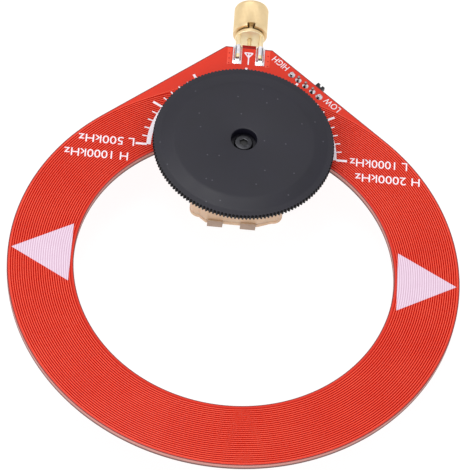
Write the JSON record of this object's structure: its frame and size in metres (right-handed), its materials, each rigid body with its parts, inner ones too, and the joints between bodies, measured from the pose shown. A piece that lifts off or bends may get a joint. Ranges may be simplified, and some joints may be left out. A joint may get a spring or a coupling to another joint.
{
  "type": "radio loop antenna",
  "caption": "Flat ring of circuit board with a printed winding, a tuning capacitor turned by a large toothed knob, a slide switch and a screw-on coaxial plug.",
  "frame": {"origin": "middle of the end of the plug's nose, where it meets the jack", "axes": "+Y along the plug and out of it, +Z out of the printed face of the board, +X across the ring towards the switch"},
  "size_m": [0.1, 0.1232, 0.0184],
  "materials": {
    "red_board": "glossy solder mask over glass laminate",
    "coated_copper": "copper track under glossy solder mask",
    "tin": "bright tin and solder",
    "gold_plate": "gold-plated brass, polished",
    "white_insulator": "waxy white",
    "gasket_rubber": "matte",
    "tan_plastic": "cloudy moulded plastic",
    "bare_brass": "plain brass",
    "plate_metal": "stamped sheet",
    "bright_steel": "plated",
    "black_plastic": "satin black",
    "black_steel": "black oxide",
    "brown_laminate": "paper laminate"
  },
  "bodies": {
    "board": {"circuit_board": "red_board", "loop_winding": "coated_copper", "plug_pads": "tin", "plug_body": "gold_plate", "plug_insulator": "white_insulator", "plug_pin": "gold_plate", "plug_gasket": "gasket_rubber", "leg_solder": "tin", "pin_solder": "tin", "tuner_case": "tan_plastic", "tuner_cover": "tan_plastic", "tuner_bush": "bare_brass", "stator_plates": "plate_metal", "stator_tab": "bare_brass", "rotor_tab": "bare_brass", "tuner_screws": "bright_steel", "switch_frame": "bright_steel", "switch_base": "brown_laminate", "switch_pins": "tin", "switch_solder": "tin"},
    "tuner": {"tuning_knob": "black_plastic", "knob_screw": "black_steel", "tuner_shaft": "bare_brass", "rotor_plates": "plate_metal"},
    "nut": {"coupling_nut": "gold_plate", "snap_ring": "bright_steel"},
    "slider": {"switch_slider": "black_plastic", "switch_contact": "bare_brass"},
    "trimmer_a": {"trimmer_left": "bare_brass"},
    "trimmer_b": {"trimmer_right": "bare_brass"}
  },
  "joints": [
    {"name": "tuning_turn", "type": "hinge", "parent": "board", "child": "tuner", "pos_m": [0, -0.03895, 0], "axis": [0, 0, 1], "range_deg": [-90, 90]},
    {"name": "nut_spin", "type": "hinge", "parent": "board", "child": "nut", "pos_m": [0, 0, 0], "axis": [0, 1, 0], "continuous": true},
    {"name": "switch_slide", "type": "slide", "parent": "board", "child": "slider", "axis": [-0.7587, 0.6514, 0], "range_m": [0, 0.002]},
    {"name": "trimmer_a_turn", "type": "hinge", "parent": "board", "child": "trimmer_a", "pos_m": [-0.0044, -0.03495, 0], "axis": [0, 0, 1], "continuous": true},
    {"name": "trimmer_b_turn", "type": "hinge", "parent": "board", "child": "trimmer_b", "pos_m": [0.0044, -0.03495, 0], "axis": [0, 0, 1], "continuous": true}
  ]
}
